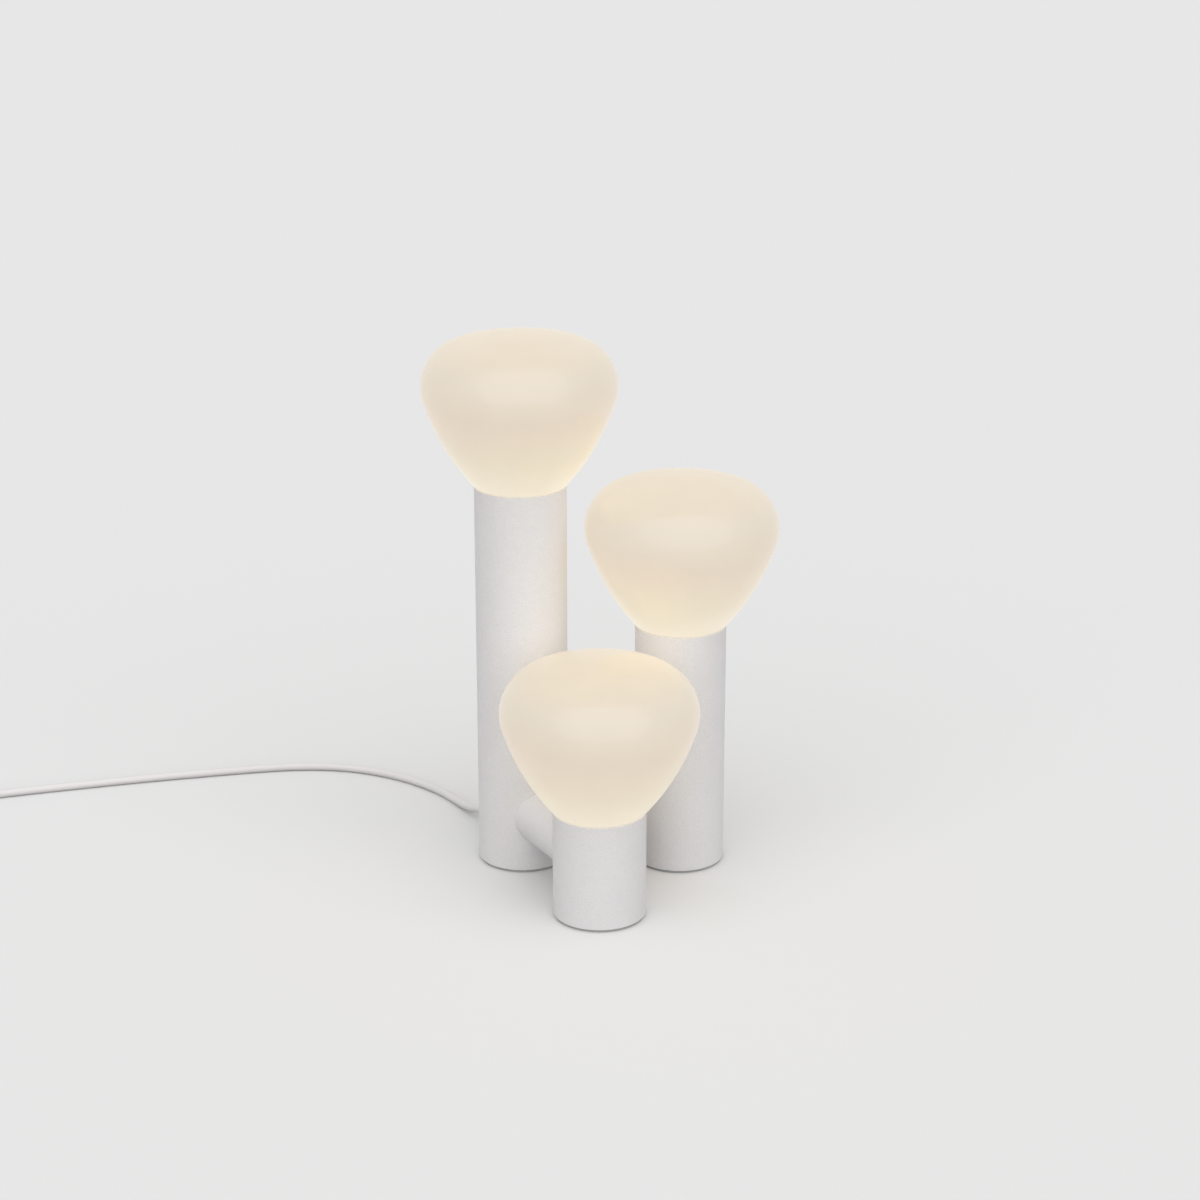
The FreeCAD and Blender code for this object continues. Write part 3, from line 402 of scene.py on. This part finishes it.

# ---- Strain relief ---------------------------------------------------------------------
# One moulding on the cord, snapped into the tall column. A lip holds it from inside, a flange
# closes the hole outside, and the tail is grooved so that it can bend with the cord; here it stands
# straight.
relief_start = 0.028
relief_neck = 0.0058
lip_radius = 0.0068
lip_start, lip_end = 0.0299, 0.0321
flange_radius = 0.0078
flange_start, flange_end = 0.0352, 0.0368
flange_round = 0.0003
lip_round = 0.0004
end_round = 0.0005
tail_start = 0.037
tail_root = 0.0060
tail_tip = 0.0044
tail_grooves = 6
groove_depth = 0.0009
groove_rings = 24
tip_round = 0.0006
round_steps = 64

cord_moulding = grained("cord moulding", (0.79, 0.775, 0.765), (0.74, 0.725, 0.715),
                        grains=1400, depth=0.00003, rough=(0.42, 0.55))


def turned(name, start, way, distance, radius):
    """A round piece on a straight axis: each ring has its own distance and radius."""
    centre = np.array(start) + distance[:, None] * np.array(way)
    across = np.cross(way, (0, 0, 1))
    sized = [radius[:, None] * wave[None] for wave in squircle(2.0, round_steps)]
    count = (len(distance), 1)
    return skin(name, centre, np.tile(across, count), np.tile([0.0, 0, 1], count), *sized)


def grooved_tail(start, end, root, tip, grooves, depth):
    """Distances and radii of a tapered tail: a straight taper, less a raised cosine to the
    third power for each groove, with a small rounding at the tip."""
    share = np.linspace(0, 1, groove_rings * grooves + 1)
    groove = ((1 - np.cos(2 * np.pi * grooves * share)) / 2) ** 3
    radius = root + (tip - root) * share - depth * groove
    radius[-3:] -= tip_round * np.array([0.1, 0.35, 1.0])
    return start + (end - start) * share, radius


held = np.array([
    [relief_start, relief_neck - end_round],
    [relief_start + end_round, relief_neck],
    [lip_start, relief_neck],
    [lip_start, lip_radius],
    [lip_end - lip_round, lip_radius],
    [lip_end, relief_neck + lip_round],
    [lip_end, relief_neck],
    [flange_start, relief_neck],
    [flange_start, flange_radius - flange_round],
    [flange_start + flange_round, flange_radius],
    [flange_end - end_round, flange_radius],
    [flange_end, flange_radius - flange_round],
    [tail_start, flange_radius - flange_round - end_round],
])
relief_rings = np.hstack([held.T, grooved_tail(tail_start, column_radius + relief_reach, tail_root,
                                               tail_tip, tail_grooves, groove_depth)])
relief_mesh = turned("strain_relief_bush", tall_axis + Vector((0, 0, relief_height)), relief_way,
                     *relief_rings)
show("strain_relief_bush", relief_mesh, cord_moulding, "strain_relief")

# ---- Cord switch -----------------------------------------------------------------------
# Two moulded halves screwed together round the cord, with a rocker that tips on two stub
# pivots. The halves have a fine spark-eroded grain, and the rocker is polished.
def repaint(material, *names):
    """Gives CAD nodes, whose shape is right, their finish."""
    for name in names:
        nodes[name].material_slots[0].material = material


repaint(grained("switch shell", (0.80, 0.79, 0.77), (0.75, 0.74, 0.72), grains=2200,
                depth=0.00003, rough=(0.40, 0.56)),
        "switch_top", "switch_bottom")
repaint(grained("rocker polish", (0.82, 0.81, 0.79), (0.80, 0.79, 0.77), grains=700,
                depth=0.000004, rough=(0.16, 0.26), Coat_Weight=0.3, Coat_Roughness=0.08),
        "switch_rocker")
repaint(grained("contact brass", (0.78, 0.56, 0.22), (0.62, 0.42, 0.16), grains=900,
                depth=0.000008, rough=(0.20, 0.38), draw=(1, 1, 0.05), Metallic=1.0),
        "switch_contacts")

# ---- Plug ------------------------------------------------------------------------------
# The body is moulded round its pins in the cord's own soft vinyl. Ribs on its two sides give
# grip, and the tail is grooved as the strain relief's is. The pins are nickel-plated brass.
plug_tail = 0.018
plug_length = 0.052
plug_half_width = 0.0135
plug_half_height = 0.012
plug_stations = 150
plug_steps = 96
plug_tail_start = 0.0046
plug_tail_end = 0.0066
plug_grooves = 5
plug_groove_depth = 0.0008
growth_rate, growth_start, growth_power = 1.35, 0.12, 0.7
plug_squareness = 4.6
face_round = 0.0012
face_edge = 0.965
rib_count = 7
rib_height = 0.0005
rib_start, rib_span = 0.25, 0.5
rib_side = 0.9


def plug_mesh():
    """The tail's rings grow into the body's: the half width and half height ease from the
    tail's radius to the face's over two thirds of the body, while the outline goes from a
    circle to a rounded rectangle. The ribs are squared sines along the body, at its sides
    only, and the last rings are drawn in to round the face's edge."""
    tail_far, tail_size = [ring[:-3] for ring in
                           grooved_tail(0, plug_tail, plug_tail_start, plug_tail_end,
                                        plug_grooves, plug_groove_depth)]
    far = np.linspace(plug_tail, plug_length, plug_stations)[1:]
    share = (far - plug_tail) / (plug_length - plug_tail)
    grown = ease(share * growth_rate + growth_start) ** growth_power
    shrink = face_round * np.clip((share - face_edge) / (1 - face_edge), 0, 1) ** 2
    distance = np.concatenate([tail_far, far])
    power = np.concatenate([np.full(len(tail_far), 2.0),
                            2.0 + (plug_squareness - 2.0) * ease(share * 2)])
    wave_x, wave_z = squircle(power, plug_steps)
    half_x, half_z = [
        np.concatenate([tail_size, plug_tail_end + (half - plug_tail_end) * grown - shrink])
        for half in (plug_half_width, plug_half_height)]
    rib = np.sin(2 * np.pi * rib_count * np.clip((share - rib_start) / rib_span, 0, 1)) ** 2
    rib = np.concatenate([np.zeros(len(tail_far)), rib * rib_height])
    at_side = np.sign(wave_x) * (np.abs(wave_x) > rib_side)
    aside = half_x[:, None] * wave_x - rib[:, None] * at_side
    out = half_z[:, None] * wave_z
    count = (len(distance), 1)
    centre = np.array(plug_start) + distance[:, None] * np.array([0.0, 1, 0])
    return skin("plug_moulding", centre, np.tile([1.0, 0, 0], count),
                np.tile([0.0, 0, 1], count), aside, out)


show("plug_moulding", plug_mesh(), cord_moulding, "plug_body")
repaint(grained("plug nickel", (0.74, 0.70, 0.62), (0.66, 0.62, 0.55), grains=1200,
                depth=0.000006, rough=(0.14, 0.30), draw=(1, 0.04, 1), Metallic=1.0),
        "plug_blades", "plug_earth_pin")

# ---- Columns and cross tubes -----------------------------------------------------------
# Welded steel tube, blasted and sprayed with a warm white polyester powder that cures to a
# satin skin with a fine even texture. The cross tubes are coped to the columns.
columns = ("short", "medium", "tall")
coat = dict(colour=(0.860, 0.845, 0.848), deeper=(0.746, 0.731, 0.734), grains=1300,
            depth=0.00016, rough=(0.45, 0.65))


def each(piece):
    """The names of one kind of piece on the three columns."""
    return [piece + "_" + column for column in columns]


repaint(grained("powder coat", **coat),
        *each("column_tube"), "cross_tube_short", "cross_tube_medium")

# ---- Base weights and foot pads --------------------------------------------------------
# A casting closes each tube's foot: its plug inside is bare phosphated iron, and its flange
# shows as a thin rim in the tube's own coat. It stands on a disc of light grey rubber sheet.
plug_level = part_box("column_tube_tall")[0].z
level_slack = 0.0001


def casting_material():
    """The tube's coat on the flange, and above the tube's foot the bare iron, whose dark tone
    a noise mixes from two."""
    material = grained("cast weight", **coat)
    tree = material.node_tree
    shader = tree.nodes["Principled BSDF"]
    own = own_place(tree)
    above = put(tree, "Math", {0: own_height(tree, own), 1: plug_level + level_slack},
                operation="GREATER_THAN")
    iron = put(tree, "TexNoise", {"Vector": own, "Scale": 500.0, "Detail": 6.0})
    dark = mixed(tree, iron.outputs[0], (0.035, 0.035, 0.038, 1), (0.07, 0.07, 0.072, 1))
    painted = shader.inputs["Base Color"].links[0].from_socket
    wire(tree, shader, Base_Color=mixed(tree, above.outputs[0], painted, dark))
    return material


repaint(casting_material(), *each("base_weight"))
repaint(grained("pad rubber", (0.46, 0.46, 0.46), (0.38, 0.38, 0.38), grains=1100,
                depth=0.00005, rough=(0.75, 0.92)),
        *each("foot_pad"))

# ---- Rods, plates, brackets and screws -------------------------------------------------
# Turned, pressed and bought steel, all bright zinc plated. None of it shows until a shade is
# lifted out: then the plate, the bracket and the upper nut are seen in the tube's mouth.
repaint(grained("bright zinc", (0.66, 0.68, 0.71), (0.55, 0.57, 0.60), grains=700,
                depth=0.000012, rough=(0.24, 0.44), Metallic=1.0),
        *each("tie_rod"), *each("holder_plate"), *each("holder_bracket"), "tie_rod_nuts",
        "holder_screws", "cross_pipe_short", "cross_pipe_medium", "cross_pipe_nuts",
        "cross_pipe_saddles", "earth_screw", "switch_screws")

# ---- Lamp holders and bulbs ------------------------------------------------------------
# The holder is glazed steatite. The bulb is a frosted quartz capsule cemented into a ceramic
# base, with two flat pins, and its frosted end is where the light comes from.
bulb_base_height = 0.0085
bulb_light = (1.0, 0.80, 0.52, 1)
pin_grey = (0.42, 0.42, 0.41, 1)
base_white = (0.80, 0.78, 0.74, 1)
frost_white = (0.86, 0.85, 0.82, 1)


def bulb_material(column):
    """Three stretches by height: grey pins, a pale base, and the capsule, which gives light."""
    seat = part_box("lamp_holder_" + column)[1].z
    material, shader = shaded("bulb " + column, Metallic=0.0, Transmission_Weight=0.0,
                              Emission_Strength=4.0, Coat_Weight=0.2, Coat_Roughness=0.15)
    tree = material.node_tree
    own = own_place(tree)
    height = own_height(tree, own)
    over_pins, over_base = [
        put(tree, "Math", {0: height, 1: level}, operation="GREATER_THAN").outputs[0]
        for level in (seat, seat + bulb_base_height)]
    frost = put(tree, "TexNoise", {"Vector": own, "Scale": 1800.0, "Detail": 3.0})
    rough = put(tree, "MapRange", {"Value": frost.outputs[0], "To Min": 0.35, "To Max": 0.60})
    bump = put(tree, "Bump", {"Height": frost.outputs[0], "Distance": 0.00002})
    lower = mixed(tree, over_pins, pin_grey, base_white)
    wire(tree, shader, Base_Color=mixed(tree, over_base, lower, frost_white),
         Emission_Color=mixed(tree, over_base, (0, 0, 0, 1), bulb_light),
         Roughness=rough.outputs[0], Normal=bump.outputs[0])
    return material


repaint(grained("glazed steatite", (0.84, 0.82, 0.77), (0.78, 0.76, 0.71), grains=260,
                depth=0.00001, rough=(0.10, 0.20), Coat_Weight=0.5, Coat_Roughness=0.05),
        *each("lamp_holder"))
for column in columns:
    repaint(bulb_material(column), "bulb_" + column)

# ---- Wiring inside ---------------------------------------------------------------------
# Two-core leads in woven glass sleeve, the supply cord's bare cores, the earth lead, and the
# nylon block that joins them.
repaint(grained("glass sleeve", (0.80, 0.79, 0.76), (0.68, 0.67, 0.64), grains=2600,
                depth=0.00008, rough=(0.60, 0.85)),
        *each("lamp_lead"))
repaint(grained("core vinyl", (0.16, 0.10, 0.07), (0.13, 0.08, 0.055), grains=800,
                depth=0.00001, rough=(0.35, 0.45)),
        "supply_cores")
repaint(grained("earth vinyl", (0.10, 0.28, 0.05), (0.08, 0.23, 0.04), grains=800,
                depth=0.00001, rough=(0.35, 0.45)),
        "earth_lead")
repaint(grained("natural nylon", (0.76, 0.74, 0.67), (0.70, 0.68, 0.61), grains=600,
                depth=0.00002, rough=(0.38, 0.50)),
        "terminal_block")

# ---- Shades and their rings ------------------------------------------------------------
# Mouth-blown opal glass with a satin-etched skin, lit from inside by the bulb low in its
# neck. It glows most near its foot. A sleeve of clear silicone seats it in the tube.
glow_height = 0.1157
glow_stops = (
    (0.00, (0.66, 0.59, 0.46, 1)),
    (0.25, (0.57, 0.50, 0.37, 1)),
    (0.50, (0.53, 0.44, 0.34, 1)),
    (0.80, (0.47, 0.41, 0.32, 1)),
    (1.00, (0.49, 0.405, 0.285, 1)),
)
glow_thrown = 1.3
opal_colour = (0.30, 0.28, 0.25, 1)


def opal_material(column):
    """Opal glass, whose milk-white body keeps its own colour under a glow.

    A colour ramp gives the glow by height over the lamp holder, and a faint cloud in the
    glass varies it. It throws a little more light on its neighbours than the camera sees.
    """
    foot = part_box("lamp_holder_" + column)[1].z
    material, shader = shaded("opal glass " + column, Base_Color=opal_colour, Metallic=0.0,
                              Transmission_Weight=0.0, Emission_Strength=1.0, IOR=1.5,
                              Coat_Weight=0.4, Coat_Roughness=0.15)
    tree = material.node_tree
    own = own_place(tree)
    share = put(tree, "MapRange", {"Value": own_height(tree, own), "From Min": foot,
                                   "From Max": foot + glow_height})
    ramp = put(tree, "ValToRGB", {0: share.outputs[0]})
    stops = ramp.color_ramp.elements
    for place, _ in glow_stops[2:]:
        stops.new(place)
    for stop, (place, colour) in zip(stops, glow_stops):
        stop.position, stop.color = place, colour
    cloud = put(tree, "TexNoise", {"Vector": own, "Scale": 45.0, "Detail": 3.0})
    level = put(tree, "MapRange", {"Value": cloud.outputs[0], "From Min": 0.3, "From Max": 0.7,
                                   "To Min": 0.985, "To Max": 1.015})
    seen = put(tree, "LightPath", {}).outputs["Is Camera Ray"]
    thrown = put(tree, "MapRange", {"Value": seen, "To Min": glow_thrown, "To Max": 1.0})
    strength = put(tree, "Math", {0: level.outputs[0], 1: thrown.outputs[0]}, operation="MULTIPLY")
    glow = put(tree, "VectorMath", {0: ramp.outputs[0], "Scale": strength.outputs[0]},
               operation="SCALE")
    etch = put(tree, "TexNoise", {"Vector": own, "Scale": 2500.0, "Detail": 2.0})
    rough = put(tree, "MapRange", {"Value": etch.outputs[0], "To Min": 0.34, "To Max": 0.46})
    bump = put(tree, "Bump", {"Height": etch.outputs[0], "Distance": 0.00001})
    wire(tree, shader, Emission_Color=glow.outputs[0], Roughness=rough.outputs[0],
         Normal=bump.outputs[0])
    return material


repaint(grained("clear silicone", (0.86, 0.83, 0.77), (0.80, 0.775, 0.715), grains=500,
                depth=0.00001, rough=(0.36, 0.50)),
        *each("shade_grip_ring"))
for column in columns:
    repaint(opal_material(column), "shade_" + column)

# ---- Table and light -------------------------------------------------------------------
# A pale seamless table top under an even white sky, with one very broad light from above the
# camera. The table keeps the lamp's soft shadow. It shows pale to the camera and in gloss,
# but throws less light back up, as a studio sweep further off would.
table_grey = 0.80
thrown_grey = 0.42
half_table = 30.0
sky_strength = 0.70
sky_seen = 0.80
key_strength = 1.5
key_height = math.radians(38)
key_side = math.radians(6)
key_softness = math.radians(100)


def seen_rays(tree):
    """1 for the camera's own rays and those that gloss and glass pass on, 0 for the rest."""
    rays = put(tree, "LightPath", {}).outputs
    seen = rays["Is Camera Ray"]
    for ray in ("Is Glossy Ray", "Is Transmission Ray"):
        seen = put(tree, "Math", {0: seen, 1: rays[ray]}, operation="MAXIMUM").outputs[0]
    return seen


table_mesh = bpy.data.meshes.new("table_top")
table_mesh.from_pydata([(x * half_table, y * half_table, 0)
                        for x, y in ((-1, -1), (1, -1), (1, 1), (-1, 1))], [], [(0, 1, 2, 3)])
table_top = bpy.data.objects.new("table_top", table_mesh)
bpy.context.scene.collection.objects.link(table_top)
table_paint, table_shader = shaded("table paint", Roughness=1.0, Specular_IOR_Level=0.0)
table_tree = table_paint.node_tree
wire(table_tree, table_shader, Base_Color=mixed(table_tree, seen_rays(table_tree),
                                                (*[thrown_grey] * 3, 1), (*[table_grey] * 3, 1)))
table_mesh.materials.append(table_paint)

world = bpy.data.worlds.new("sky")
world.use_nodes = True
sky = world.node_tree.nodes["Background"]
sky.inputs["Color"].default_value = (1, 1, 1, 1)
sky_level = put(world.node_tree, "MapRange", {"Value": seen_rays(world.node_tree),
                                              "To Min": sky_strength, "To Max": sky_seen})
wire(world.node_tree, sky, Strength=sky_level.outputs[0])
bpy.context.scene.world = world

key_data = bpy.data.lights.new("key", "SUN")
key_data.energy = key_strength
key_data.angle = key_softness
key = bpy.data.objects.new("key", key_data)
key.rotation_euler = (math.pi / 2 - key_height, 0, key_side)
bpy.context.scene.collection.objects.link(key)
